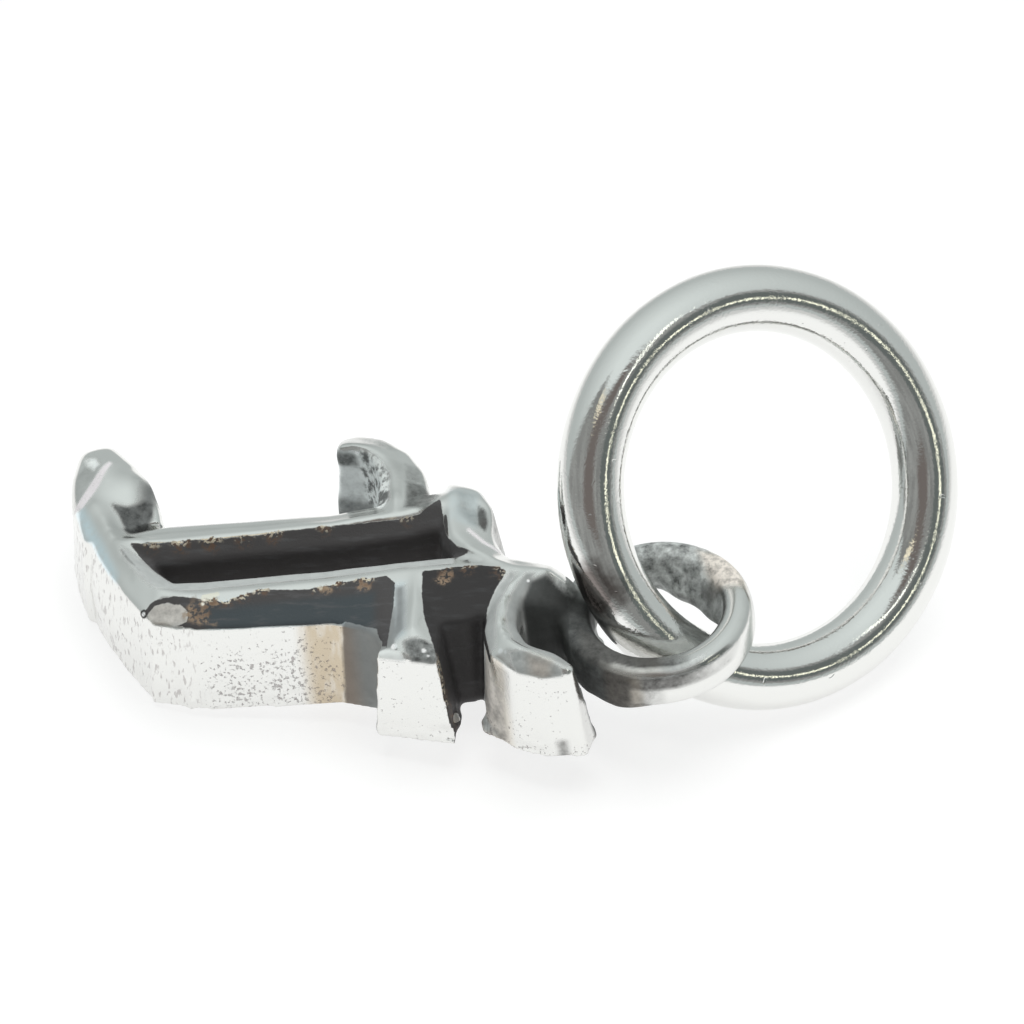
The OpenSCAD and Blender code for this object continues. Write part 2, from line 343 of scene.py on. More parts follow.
# Brown and gold stains: plan place, radius and strength
goldStains = [
    ((3.48, 3.00), 0.36, 1.0), ((3.75, 2.70), 0.28, 1.0), ((4.15, 2.70), 0.34, 1.0),
    ((4.6, 2.62), 0.3, 0.9), ((5.1, 2.52), 0.30, 1.0), ((6.6, 2.58), 0.28, 0.8),
    ((7.15, 2.48), 0.30, 1.0), ((7.9, 2.42), 0.38, 1.0), ((10.12, 2.42), 0.28, 1.0),
    ((10.7, 2.30), 0.3, 0.7), ((11.5, 2.5), 0.3, 0.5), ((13.2, 2.75), 0.3, 0.8),
    ((2.1, 0.45), 0.3, 0.8), ((2.9, 0.45), 0.38, 1.0), ((3.7, 0.45), 0.38, 1.0),
    ((4.6, 0.42), 0.34, 0.9), ((5.4, 0.38), 0.34, 0.9), ((6.8, 0.30), 0.28, 0.8),
    ((9.0, 0.12), 0.3, 0.5), ((9.9, 5.3), 0.3, 0.8)]

# The bail: its plan, how it is pressed out of shape, and how dark and how matt its faces are
bail = {
    "centre": (15.65, 3.25),
    "inner": 1.76,
    "outer": 2.6,
    "start": 13.3,
    # the eye narrows towards its foot on one side: by how much, on which bearing, and over which
    # cosines from it, distances from the middle and heights
    "taper": {"depth": 0.42, "bearing": 45.0, "spread": (0.66, 0.97), "reach": (2.35, 1.91),
              "heights": (2.2, 1.1)},
    # and the foot sags near the letter
    "sag": {"depth": 0.28, "up": (15.7, 14.4), "side": (3.6, 4.6), "reach": (1.2, 1.9),
            "heights": (1.7, 0.95), "margin": 0.1},
    "nearSide": (2.4, 3.8),  # to the right, where its far side turns into its near side
    # how dark its faces are: places up the letter, and the tarnish there, which on the outer wall near the
    # letter is partly a painted reflection
    "nearTop": ((13.6, 14.8, 15.9, 16.2, 16.5, 17.4), (0.95, 0.92, 0.90, 0.60, 0.15, 0.05)),
    "farTop": ((14.5, 16.4, 17.0, 17.6), (0.50, 0.40, 0.22, 0.08)),
    "ridgeBand": (2.36, 2.58),
    "ridge": ((13.6, 14.1, 14.5), (0.95, 0.5, 0.10)),
    "shoulderHeights": (1.60, 1.76),
    "shoulder": ((13.6, 15.9, 17.0, 17.8), (0.95, 0.84, 0.45, 0.0)),
    # the outer wall near the letter: partly tarnish, partly a painted reflection of the letter's dark arm
    # beside it
    "wall": ((13.9, 14.8, 15.3, 15.7), (0.92, 0.72, 0.25, 0.0)),
    "farWall": 0.3,
    "eye": 0.85,
    "eyeNear": 0.2,
    # matt parts: how pale and how mottled each is, and where some of them lie
    "root": (0.125, 0.5),
    "rootTop": ((13.9, 15.0, 16.2), (1.0, 0.85, 0.0)),
    "rootWall": (15.3, 14.7),
    "far": (0.50, 0.9),
    "rightInside": (0.42, 0.6),
    # a pale matt line along the near ridge: a painted highlight
    "ridgeHighlight": (0.66, 0.3),
    "ridgeHighlightBand": (2.32, 2.46),
    "worn": (0.80, 0.8),
    "wornPlan": [
        (16.95, 1.40), (17.5, 1.55), (18.0, 2.3), (17.95, 2.74), (17.5, 2.76), (17.2, 2.4), (16.85, 2.0)],
}


def castLetter():
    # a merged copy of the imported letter, taken to millimetres in its own frame and cut to an even skin
    bm = bmesh.new()
    bm.from_mesh(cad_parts["letter"].data)
    bmesh.ops.remove_doubles(bm, verts=bm.verts, dist=1e-7)
    bmesh.ops.transform(bm, matrix=toLetter, verts=bm.verts)
    rough = addObject("roughLetter", meshFrom(bm, "roughLetter"))
    remesh = rough.modifiers.new("skin", "REMESH")
    remesh.mode = "VOXEL"
    remesh.voxel_size = letter["voxel"]
    mesh = appliedMesh(rough, "castLetter")
    mesh.shade_smooth()
    return mesh


def softened(points, edges, share, passes):
    # each pass moves a point towards the middle of its neighbours
    count = len(points)
    degree = numpy.bincount(edges.ravel(), minlength=count)[:, None]
    for again in range(passes):
        middle = numpy.stack([numpy.bincount(edges[:, 0], points[edges[:, 1], axis], count)
                              + numpy.bincount(edges[:, 1], points[edges[:, 0], axis], count)
                              for axis in range(3)], axis=1) / degree
        points = points + share * 0.5 * (middle - points)
    return points


def rounded(points, edges, share, passes):
    # rounds the edges, and gives back what the softening took from the whole
    soft = softened(points, edges, share, passes)
    return 2 * soft - softened(soft, edges, share, passes)


def pressBail(points):
    # leans the eye's wall in on one side, and lets the foot near the letter sag
    taper, sag = bail["taper"], bail["sag"]
    outward = numpy.stack([points[:, 0] - bail["centre"][0], points[:, 1] + bail["centre"][1]], axis=1)
    reach = numpy.linalg.norm(outward, axis=1)
    outward /= numpy.maximum(reach, 1e-6)[:, None]
    bearing = math.radians(taper["bearing"])
    share = smoothStep(*taper["spread"], outward @ (math.cos(bearing), math.sin(bearing)))
    share = share * smoothStep(*taper["reach"], reach) * smoothStep(*taper["heights"], points[:, 2])
    points[:, :2] -= outward * (taper["depth"] * share)[:, None]
    share = smoothStep(*sag["up"], points[:, 0]) * smoothStep(*sag["heights"], points[:, 2])
    share = share * (reach < bail["outer"] + sag["margin"])
    share = share * smoothStep(*sag["reach"], reach) * smoothStep(*sag["side"], -points[:, 1])
    points[:, 2] -= sag["depth"] * share


def putBack(mesh, points):
    # gives the mesh its new points, and returns the normals there
    mesh.vertices.foreach_set("co", points.ravel())
    mesh.update()
    return numpy.array([v.normal[:] for v in mesh.vertices])


mesh = castLetter()
count = len(mesh.vertices)
points = numpy.empty(count * 3)
mesh.vertices.foreach_get("co", points)
points = points.reshape(-1, 3)
edges = numpy.empty(len(mesh.edges) * 2, int)
mesh.edges.foreach_get("vertices", edges)
edges = edges.reshape(-1, 2)
points = rounded(points, edges, 1.0, letter["passes"])
for passes, upSpan, sideSpan in rounder.values():
    share = within(upSpan, letter["blend"], points[:, 0]) * within(sideSpan, letter["blend"], -points[:, 1])
    share = share * smoothStep(*letter["roundedAbove"], points[:, 2])
    points = rounded(points, edges, share[:, None], passes)
pressBail(points)
normals = putBack(mesh, points)

move = numpy.zeros(count)
for (x, y, z), radius, depth in pressed.values():
    away = numpy.linalg.norm(points - (x, -y, z), axis=1) / radius
    move += depth * numpy.clip(1 - away * away, 0.0, 1.0) ** 2
slow, wave, crumble = [numpy.array([noise.noise(Vector(p) * letter[size]) for p in points])
                       for size in ("slowSize", "waveSize", "crumbleSize")]
lowDown = smoothStep(*letter["footHeights"], points[:, 2])
torn = within(letter["tornUp"], letter["blend"], points[:, 0])
torn = torn * smoothStep(*letter["tornSide"], -points[:, 1])
move += wave * letter["wave"] + crumble * lowDown * (letter["footRough"] + torn * letter["tornFoot"])
move *= smoothStep(*letter["movedAbove"], points[:, 2])
points = softened(points + normals * move[:, None], edges, 1.0, 1)
normals = putBack(mesh, points)
print("letter shaped:", sum(len(p.vertices) - 2 for p in mesh.polygons), "triangles")

facing, upright = normals[:, 0], normals[:, 2]
up, side, height = points[:, 0], -points[:, 1], points[:, 2]
plan = numpy.stack([up, side], axis=1)
onTop = smoothStep(*letter["topTilt"], upright)
onWall = 1 - onTop


def zone(strength, soft, heights, loop):
    slowShift, crumbleShift = letter["edgeWander"]
    share = smoothStep(-soft, soft, insideBy(plan, loop) + slow * slowShift + crumble * crumbleShift)
    return strength * share * within(heights, soft, height)


def blot(at, radius, core, frayed=0.0):
    # a round stain, at its full strength up to a share of the radius
    away = numpy.hypot(up - at[0], side - at[1]) / radius + crumble * frayed
    return smoothStep(1.0, core, away)


# Black in the recesses: depths in millimetres, shades as shares of the black's own colour
blackness = {
    "none": -0.5,
    "armFades": [((10.6, 10.8), (4.1, 4.4)), ((10.3, 10.5), (4.7, 4.9))],  # where the arm's wall turns grey
    "fadeHeights": (2.9, 2.3),
    "fadeDepths": (0.3, 0.55),
    "onBevels": 0.40,
    "betweenArms": 0.22,
    "onWalls": 0.29,
    # the counter's black is made paler low down, where the recess lies deepest in shade: painted light
    "counter": (0.52, 0.72),  # and how much more of it low down
    "counterPaintedLightHeights": (2.9, 1.7),
}

# How deep each point lies in what the polishing missed; less than zero where it is bright
noBlack = blackness["none"]
topBlack = numpy.max([insideBy(plan, loop) for loop in blackTops.values()], axis=0)
topBlack = numpy.minimum(topBlack, -insideBy(plan, cornerFacet))
topBlack = numpy.where(height > letter["lowestBevel"], topBlack, noBlack)
wallBlack = numpy.max([insideBy(plan, loop) for loop in blackWalls.values()], axis=0)
endWalls = (side >= letter["endWall"]) & (numpy.abs(facing) <= letter["endWallFacing"])
wallBlack = numpy.where(endWalls, noBlack, wallBlack)
fades = numpy.max([smoothStep(*upSpan, up) * smoothStep(*sideSpan, side)
                   for upSpan, sideSpan in blackness["armFades"]], axis=0)
most, lost = blackness["fadeDepths"]
wallBlack = numpy.minimum(wallBlack, most - fades * smoothStep(*blackness["fadeHeights"], height) * lost)
black = mixed(onTop, numpy.maximum(topBlack, noBlack), numpy.maximum(wallBlack, noBlack))
# Painted light: the counter's walls get a paler black low down, to offset the shade deep in the recess
least, more = blackness["counter"]
deep = numpy.where(insideBy(plan, blackWalls["counter"]) > -0.1,
                   least + more * smoothStep(*blackness["counterPaintedLightHeights"], height), blackness["onWalls"])
betweenArms = insideBy(plan, blackTops["betweenArms"]) * onTop > 0
shade = mixed(onTop, numpy.where(betweenArms, blackness["betweenArms"], blackness["onBevels"]), deep)

# Tarnish and painted shade, with the bail's own from its tables
tarnishAndPaintedShade = numpy.max([zone(*part) for part in tarnishAndPaintedShadeZones.values()], axis=0)
fromBail = numpy.hypot(up - bail["centre"][0], side - bail["centre"][1])
onBail = (up > bail["start"]) & (fromBail < bail["outer"] + 0.2)
leaning = up + slow * 0.5
nearSide = smoothStep(*bail["nearSide"], side)
bailTop = mixed(nearSide, numpy.interp(leaning, *bail["nearTop"]), numpy.interp(leaning, *bail["farTop"]))
onRidge = within(bail["ridgeBand"], 0.05, fromBail + slow * 0.06)
bailTop = mixed(onRidge, numpy.interp(leaning, *bail["ridge"]), bailTop)
inEye = smoothStep(bail["inner"] + 0.24, bail["inner"] + 0.08, fromBail)
bailTop = numpy.maximum(bailTop, inEye * bail["eye"])
onShoulder = smoothStep(*bail["shoulderHeights"], height)
# Outer wall: tarnish, and near the letter a painted reflection of the dark arm
bailWall = mixed(onShoulder, numpy.interp(leaning, *bail["shoulder"]), numpy.interp(leaning, *bail["wall"]))
bailWall = numpy.where(fromBail < bail["inner"] + 0.4, mixed(nearSide, bail["eyeNear"], bail["eye"]),
                       mixed(nearSide, bailWall, bail["farWall"]))
tarnishAndPaintedShade = numpy.where(onBail, numpy.maximum(tarnishAndPaintedShade, mixed(onTop, bailTop, bailWall)), tarnishAndPaintedShade)

# The bail's own matt parts: its dark root, its far side, a pale line along its ridge that is a painted
# highlight, its worn ridge and the inside of its right
ragged = up + crumble * 0.3
rootTop = numpy.interp(ragged, *bail["rootTop"]) * (1 - 0.8 * onRidge * smoothStep(13.9, 14.9, ragged))
rootShare = mixed(onTop, rootTop, smoothStep(*bail["rootWall"], ragged))
rootShare = onBail * nearSide * rootShare * (fromBail > bail["inner"] + 0.1)
farShare = within((bail["inner"] - 0.4, bail["outer"] + 0.05), 0.08, fromBail + slow * 0.05)
farShare = onBail * farShare * smoothStep(3.0, 2.4, side) * smoothStep(17.1, 16.8, ragged)
# Painted highlight: a pale matt line along the near side's ridge
ridgeHighlightShare = onBail * nearSide * onTop * within(bail["ridgeHighlightBand"], 0.04, fromBail + slow * 0.05)
ridgeHighlightShare = ridgeHighlightShare * smoothStep(14.2, 14.9, ragged) * smoothStep(17.3, 16.6, ragged) * 0.85
insideShare = onBail * onWall * (fromBail < bail["inner"] + 0.3)
insideShare = insideShare * smoothStep(16.5, 16.8, up) * smoothStep(4.2, 3.6, side)
wornShare = zone(1.0, 0.11, (1.9, 3.0), bail["wornPlan"])

# Each matt part lies over those before it
mattParts = [(part[0], part[1], zone(1.0, *part[2:])) for part in matt.values()]
for name, share in (("root", rootShare), ("far", farShare), ("rightInside", insideShare),
                    ("ridgeHighlight", ridgeHighlightShare), ("worn", wornShare)):
    mattParts.append((*bail[name], share))
mattShare, pale, mottled = numpy.zeros((3, count))
for partPale, partMottled, share in mattParts:
    mattShare = mixed(share, 1.0, mattShare)
    pale = mixed(share, partPale, pale)
    mottled = mixed(share, partMottled, mottled)
pale, mottled = [values / numpy.maximum(mattShare, 1e-6) for values in (pale, mottled)]

rust = numpy.max([blot(at, radius, 0.5, 0.9) for at, radius in rusty], axis=0) * onTop
film = numpy.sum([strength * smoothStep(-soft, soft, insideBy(plan, loop)) * (onTop if top else onWall)
                  for strength, soft, top, loop in filmed.values()], axis=0)
# Painted highlights along the crests, high up only
paintedHighlight = numpy.max([smoothStep(-0.05, 0.04, insideBy(plan, loop)) for loop in paintedHighlightStrokes.values()], axis=0)
paintedHighlight = paintedHighlight * smoothStep(2.3, 2.7, height)
gold = numpy.max([strength * blot(at, radius, 0.35) for at, radius, strength in goldStains], axis=0)

# How thick the cast pits are: they crowd the near wall's foot, the arms' feet and ends and inside the horn
pitted = {
    "walls": 0.36,
    "armEnds": 0.60,
    "armFeet": 0.95,
    "hornInside": 0.9,
    "nearWall": 0.62,
    "nearFoot": 0.48,  # added to the near wall's low down
}

nearWall = pitted["nearWall"] + pitted["nearFoot"] * smoothStep(2.7, 1.2, height)
nearWall = nearWall * within((3.2, 7.1), 0.4, up) * smoothStep(2.4, 3.0, side) * onWall
armFeet = smoothStep(4.5, 5.2, side) * smoothStep(0.8, 0.1, height) * smoothStep(7.8, 8.4, up)
tornPits = torn * smoothStep(0.95, 0.5, height)
hornInside = within((7.83, 8.45), 0.08, up) * smoothStep(-0.3, -0.7, side) * smoothStep(3.2, 3.0, height)
armEnds = smoothStep(letter["endWall"], letter["endWall"] + 0.2, side) * (up < bail["start"])
pits = numpy.maximum.reduce([
    nearWall, armFeet * onWall * pitted["armFeet"], tornPits, hornInside * pitted["hornInside"],
    armEnds * onWall * pitted["armEnds"], onWall * pitted["walls"]])
scratched = smoothStep(2.4, 1.4, up - (side - 1.0) * 0.5) * onWall * smoothStep(-1.8, -1.2, side)

for name, values in {"black": black, "shade": shade, "tarnishAndPaintedShade": tarnishAndPaintedShade, "film": film, "paintedHighlight": paintedHighlight,
                     "gold": gold, "pits": pits, "scratched": scratched, "matt": mattShare, "pale": pale,
                     "mottled": mottled, "rust": rust}.items():
    mesh.attributes.new(name, "FLOAT", "POINT").data.foreach_set("value", values)
mesh.transform(toTable)
letterPiece = addObject("castLetter", mesh)
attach(letterPiece, "root")
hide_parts("letter")
print("letter made")


# Jump ring

ring = {
    "centre": (6.598, 0.940, 4.954),
    "axis": (0.4484, -0.6521, 0.6113),
    "radius": 5.11,
    "wire": 0.91,
    "around": 288,
    "across": 56,
    "wander": 0.010,      # how far the wire is from even
    "wanderSize": 0.55,
}

bm = bmesh.new()
wireStands = Matrix.Translation((ring["radius"], 0, 0)) @ Matrix.Rotation(math.pi / 2, 4, "X")
bmesh.ops.create_circle(bm, segments=ring["across"], radius=ring["wire"], matrix=wireStands)
bmesh.ops.spin(bm, geom=bm.verts[:] + bm.edges[:], cent=(0, 0, 0), axis=(0, 0, 1), angle=2 * math.pi,
               steps=ring["around"], use_merge=True, use_duplicate=False)
bmesh.ops.remove_doubles(bm, verts=bm.verts, dist=1e-4)
bmesh.ops.recalc_face_normals(bm, faces=bm.faces)
bm.normal_update()
for v in bm.verts:
    v.co += v.normal * noise.noise(v.co * ring["wanderSize"]) * ring["wander"]
ringTurn = Vector((0, 0, 1)).rotation_difference(Vector(ring["axis"])).to_matrix().to_4x4()
bmesh.ops.transform(bm, matrix=Matrix.Scale(millimetre, 4) @ Matrix.Translation(ring["centre"]) @ ringTurn,
                    verts=bm.verts)
ringPiece = addObject("jumpRing", meshFrom(bm, "jumpRing"))
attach(ringPiece, "root")
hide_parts("jump_ring")
print("ring made:", len(ringPiece.data.polygons), "faces")


# Finishes

def newMaterial(name):
    material = bpy.data.materials.new(name)
    material.use_nodes = True
    return material, material.node_tree, material.node_tree.nodes["Principled BSDF"]


def addNode(tree, kind, links=None, **settings):
    made = tree.nodes.new(kind)
    for key, value in settings.items():
        setattr(made, key, value)
    for socket, source in (links or {}).items():
        if isinstance(source, bpy.types.NodeSocket):
            tree.links.new(source, made.inputs[socket])
        else:
            made.inputs[socket].default_value = source
    return made


def maths(tree, operation, *values):
    # one node for one or two values, and a chain of them for more
    result = addNode(tree, "ShaderNodeMath", dict(enumerate(values[:2])), operation=operation).outputs[0]
    for value in values[2:]:
        result = addNode(tree, "ShaderNodeMath", {0: result, 1: value}, operation=operation).outputs[0]
    return result


def total(tree, *values):
    return maths(tree, "ADD", *values)


def product(tree, *values):
    return maths(tree, "MULTIPLY", *values)


def largest(tree, *values):
    return maths(tree, "MAXIMUM", *values)


def less(tree, *values):
    return maths(tree, "SUBTRACT", *values)


def swing(tree, value, amount):
    # a noise value turned into a step either way
    return product(tree, less(tree, value, 0.5), amount)


def ramp(tree, value, low, high, start=0.0, end=1.0, kind="SMOOTHSTEP"):
    return addNode(tree, "ShaderNodeMapRange", {"Value": value, "From Min": low, "From Max": high,
                                                "To Min": start, "To Max": end},
                   interpolation_type=kind, clamp=True).outputs["Result"]


def clamped(tree, value, sign=1.0):
    # the value itself between 0 and 1, or the part below zero turned up
    return ramp(tree, value, 0.0, sign, kind="LINEAR")


def blend(tree, share, first, second):
    made = addNode(tree, "ShaderNodeMix", data_type="RGBA")
    for socket, source in ((0, share), (6, first), (7, second)):
        if isinstance(source, bpy.types.NodeSocket):
            tree.links.new(source, made.inputs[socket])
        else:
            made.inputs[socket].default_value = source if socket == 0 else (*source, 1.0)
    return made.outputs[2]


def scaled(tree, vector, amount):
    return addNode(tree, "ShaderNodeVectorMath", {0: vector, "Scale": amount}, operation="SCALE").outputs[0]


def awayFrom(tree, place, centre):
    made = addNode(tree, "ShaderNodeVectorMath", {0: place, 1: centre}, operation="DISTANCE")
    return made.outputs["Value"]


def millimetres(tree, stretch=(1.0, 1.0, 1.0), turned=(0.0, 0.0, 0.0)):
    place = addNode(tree, "ShaderNodeTexCoord").outputs["Object"]
    scale = tuple(s / millimetre for s in stretch)
    made = addNode(tree, "ShaderNodeMapping", {"Vector": place, "Rotation": turned, "Scale": scale})
    return made.outputs["Vector"]


def noiseOf(tree, place, scale, detail=3.0, roughness=0.55):
    return addNode(tree, "ShaderNodeTexNoise", {"Vector": place, "Scale": scale, "Detail": detail,
                                                "Roughness": roughness}).outputs["Fac"]


def addBump(tree, shader, relief, strength, depth):
    settings = {"Height": relief, "Strength": strength, "Distance": depth * millimetre}
    bump = addNode(tree, "ShaderNodeBump", settings)
    tree.links.new(bump.outputs["Normal"], shader.inputs["Normal"])


castSilver = {
    "silver": (0.83, 0.83, 0.81),
    "dull": (0.062, 0.060, 0.057),
    "black": (0.200, 0.190, 0.192),
    "coolBlack": (0.172, 0.204, 0.224),
    "worn": (0.30, 0.30, 0.31),
    "brown": (0.19, 0.120, 0.082),
    "cream": (0.92, 0.82, 0.66),
    "brownFilm": (0.57, 0.47, 0.33),
    "blueFilm": (0.83, 0.95, 1.0),
    "mattTint": (0.965, 1.0, 0.985),
    "mattBrown": (1.0, 0.82, 0.68),
    "mattBlue": (0.90, 0.97, 1.0),
    "rust": (0.36, 0.265, 0.185),
    # the colour of the painted highlights
    "paintedHighlight": (0.80, 0.76, 0.78),
    "pit": (0.30, 0.265, 0.265),
    "ragged": 0.07,              # how far the black's edge wanders, in millimetres
    "raggedGold": 0.20,          # and how much further where gold shows
    "pitLimit": (0.80, 0.20),    # the noise that makes a pit, and how much less will do where pits crowd
    "palest": (0.22, 0.92),      # how dark and how pale mottling may turn a matt face
    "roughness": (0.12, 0.38),   # of bright and of dull silver
    "roughMore": (0.32, 0.12),   # added by black and matt faces, and by pits and film
    "specular": 0.18,
    "grain": (0.06, 0.6),        # relief of bright and of blackened or pitted metal
    "sunk": (1.2, 0.5),          # relief taken away by pits and by black
    "bump": (0.6, 0.02),         # strength, and depth in millimetres
}

# Noises on the letter: how fine, detail and roughness
grains = {
    "cloud": (2.2, 4.0, 0.6),
    "speck": (7.0, 4.0, 0.65),
    "fine": (16.0, 3.0, 0.6),
    "pocks": (9.5, 3.0, 0.6),
    "blobs": (10.0, 1.0, 0.5),
    "blotches": (3.4, 4.0, 0.68),
}

# Streaks on the letter: how fine along each axis, how they are turned, and roughness
streaks = {
    "scratches": ((9.0, 9.0, 2.4), (0.5, 0.6, 0.0), 0.6),
    "wornLines": ((0.9, 5.0, 5.0), (0.0, 0.0, 0.0), 0.6),
    "filmLines": ((4.0, 4.0, 1.2), (0.0, 0.0, 0.0), 0.55),
}

# Small round spots, the white ones painted glints: their colour, and their places with radii
marksAndPaintedGlints = [
    (castSilver["dull"], [
        ((1.87, 2.77, 2.89), 0.13), ((2.28, 2.76, 2.9), 0.05), ((2.72, 3.12, 2.8), 0.07),
        ((8.74, 4.86, 2.98), 0.04)]),
    ((0.95, 0.91, 0.80), [
        ((3.58, 2.64, 3.2), 0.10), ((3.75, 2.60, 3.2), 0.09), ((3.92, 2.56, 3.22), 0.07),
        ((3.52, 2.80, 3.12), 0.05), ((3.66, 2.62, 3.2), 0.09), ((3.84, 2.58, 3.2), 0.08)]),
    # white spots: painted glints
    ((0.96, 0.96, 0.96), [
        ((1.87, 2.77, 2.89), 0.065), ((12.31, 2.84, 3.14), 0.045), ((8.70, 4.80, 3.0), 0.09),
        ((9.49, 5.00, 3.0), 0.08), ((9.60, 5.16, 2.95), 0.05), ((11.54, 5.29, 3.05), 0.08),
        ((11.70, 5.36, 3.05), 0.05)]),
]

material, tree, shader = newMaterial("castSilver")
place = millimetres(tree)
noises = {name: noiseOf(tree, place, *settings) for name, settings in grains.items()}
cloud, speck, fine = noises["cloud"], noises["speck"], noises["fine"]
scratches, wornLines, filmLines = [noiseOf(tree, millimetres(tree, stretch, turned), 1.0, 3.0, roughness)
                                   for stretch, turned, roughness in streaks.values()]


def attribute(name):
    return addNode(tree, "ShaderNodeAttribute", attribute_name=name).outputs["Fac"]


def spot(at, radius, soft=0.025):
    centre = tuple((toTable @ Vector((at[0], -at[1], at[2]))) / millimetre)
    away = total(tree, awayFrom(tree, place, centre), swing(tree, fine, 0.05))
    return ramp(tree, away, radius + soft, radius - soft)


blackAt, tarnishAndPaintedShadeAt, goldAt, pitsAt, filmAt, mattAt = [
    attribute(name) for name in ("black", "tarnishAndPaintedShade", "gold", "pits", "film", "matt")]

# Black with a ragged edge, and tarnish and painted shade that both noises break up where it is neither
# faint nor full
edge = total(tree, castSilver["ragged"], product(tree, goldAt, castSilver["raggedGold"]))
wander = total(tree, swing(tree, speck, 1.0), swing(tree, cloud, 0.9))
depth = total(tree, blackAt, product(tree, wander, edge))
blackShare = ramp(tree, depth, -0.010, 0.020)
uneven = ramp(tree, tarnishAndPaintedShadeAt, 1.0, 0.75, 0.25, 1.0)
dullShare = total(tree, tarnishAndPaintedShadeAt,
                  product(tree, swing(tree, cloud, 0.60), ramp(tree, tarnishAndPaintedShadeAt, 0.02, 0.3), uneven),
                  product(tree, swing(tree, speck, 0.55), ramp(tree, tarnishAndPaintedShadeAt, 0.1, 0.5), uneven))

# Pits, scratches, and worn lines in the black
limit, crowded = castSilver["pitLimit"]
pitNoise = total(tree, noises["pocks"], swing(tree, cloud, 0.34))
pitShare = ramp(tree, less(tree, pitNoise, less(tree, limit, product(tree, pitsAt, crowded))), -0.04, 0.10)
scratchShare = product(tree, ramp(tree, scratches, 0.56, 0.66), attribute("scratched"), 0.5)
worn = product(tree, ramp(tree, wornLines, 0.50, 0.72), 0.6)

# Gold grains and brown stains lie along the black's edge
sparkle = product(tree, goldAt, ramp(tree, depth, -0.03, 0.0), ramp(tree, depth, 0.12, 0.04),
                  ramp(tree, noises["blobs"], 0.52, 0.56))
brown = product(tree, goldAt, ramp(tree, depth, -0.03, 0.02), ramp(tree, speck, 0.46, 0.60), 0.8)

# Colours, each over the ones before it
colour = blend(tree, clamped(tree, dullShare), castSilver["silver"], castSilver["dull"])
filmNow = product(tree, filmAt, ramp(tree, filmLines, 0.25, 0.55, 0.55, 1.0),
                  ramp(tree, dullShare, 0.8, 0.2, 0.35, 1.0))
colour = blend(tree, clamped(tree, filmNow), colour, castSilver["brownFilm"])
colour = blend(tree, clamped(tree, filmNow, -1.0), colour, castSilver["blueFilm"])
mattTint = blend(tree, clamped(tree, filmAt), castSilver["mattTint"], castSilver["mattBrown"])
mattTint = blend(tree, clamped(tree, filmAt, -1.0), mattTint, castSilver["mattBlue"])
mottling = product(tree, swing(tree, noises["blotches"], 4.0), attribute("mottled"))
darkest, palest = castSilver["palest"]
unevenPale = largest(tree, total(tree, 1.0, swing(tree, cloud, 0.25), mottling), darkest)
paleNow = maths(tree, "MINIMUM", product(tree, attribute("pale"), unevenPale), palest)
colour = blend(tree, mattAt, colour, scaled(tree, mattTint, paleNow))
colour = blend(tree, largest(tree, product(tree, pitShare, 0.7), scratchShare), colour, castSilver["pit"])
blackNow = blend(tree, ramp(tree, filmAt, -0.2, -1.0), castSilver["black"], castSilver["coolBlack"])
blackNow = blend(tree, worn, blackNow, castSilver["worn"])
colour = blend(tree, blackShare, colour, scaled(tree, blackNow, attribute("shade")))
rustShare = product(tree, attribute("rust"), ramp(tree, speck, 0.42, 0.56))
colour = blend(tree, rustShare, colour, castSilver["rust"])
colour = blend(tree, brown, colour, castSilver["brown"])
colour = blend(tree, sparkle, colour, castSilver["cream"])
# Round spots, the white ones painted glints
for tint, spots in marksAndPaintedGlints:
    for at, radius in spots:
        colour = blend(tree, spot(at, radius), colour, tint)
# Painted highlights: pale strokes over the crests, broken up by fine noise
paintedHighlightNow = product(tree, attribute("paintedHighlight"), ramp(tree, fine, 0.30, 0.42, 0.6, 1.0))
colour = blend(tree, paintedHighlightNow, colour, castSilver["paintedHighlight"])
tree.links.new(colour, shader.inputs["Base Color"])

# How metallic and how rough: black and matt faces mirror nothing, and neither do the painted highlights
blackOrMatt = largest(tree, blackShare, mattAt)
flat = largest(tree, blackOrMatt, ramp(tree, dullShare, 0.80, 1.0))
metal = ramp(tree, flat, 1.0, 0.0, 0.04, 1.0, "LINEAR")
metal = largest(tree, metal, product(tree, brown, 0.6), sparkle)
metal = product(tree, metal, less(tree, 1.0, paintedHighlightNow))
tree.links.new(metal, shader.inputs["Metallic"])
roughBlack, roughPits = castSilver["roughMore"]
rough = total(tree, ramp(tree, dullShare, 0.0, 0.9, *castSilver["roughness"]),
              product(tree, blackOrMatt, roughBlack),
              product(tree, total(tree, pitsAt, maths(tree, "ABSOLUTE", filmAt)), roughPits))
tree.links.new(rough, shader.inputs["Roughness"])
shader.inputs["Specular IOR Level"].default_value = castSilver["specular"]

# Relief
grainy = ramp(tree, total(tree, pitsAt, tarnishAndPaintedShadeAt, blackShare), 0.0, 0.5, *castSilver["grain"])
sunkPits, sunkBlack = castSilver["sunk"]
relief = less(tree, product(tree, fine, grainy), product(tree, pitShare, sunkPits), scratchShare,
              product(tree, blackShare, sunkBlack))
addBump(tree, shader, relief, *castSilver["bump"])
letterPiece.data.materials.append(material)

wireSilver = {
    "silver": (0.84, 0.84, 0.82),
    "roughness": (0.045, 0.09),      # from smooth patches to handled ones
    "smoked": (0.22, 0.195, 0.185),  # where the wire lies against the black
    "smokeAt": (2.05, -2.95, 4.75),
    "smokeSize": (1.15, 0.55),
    "smokeEdge": (1.6, 0.9),         # scale of its noise, and how far that shifts the edge
    "ripple": (12.0, 2.0, 0.6),
    "bump": (0.8, 0.0075),
}

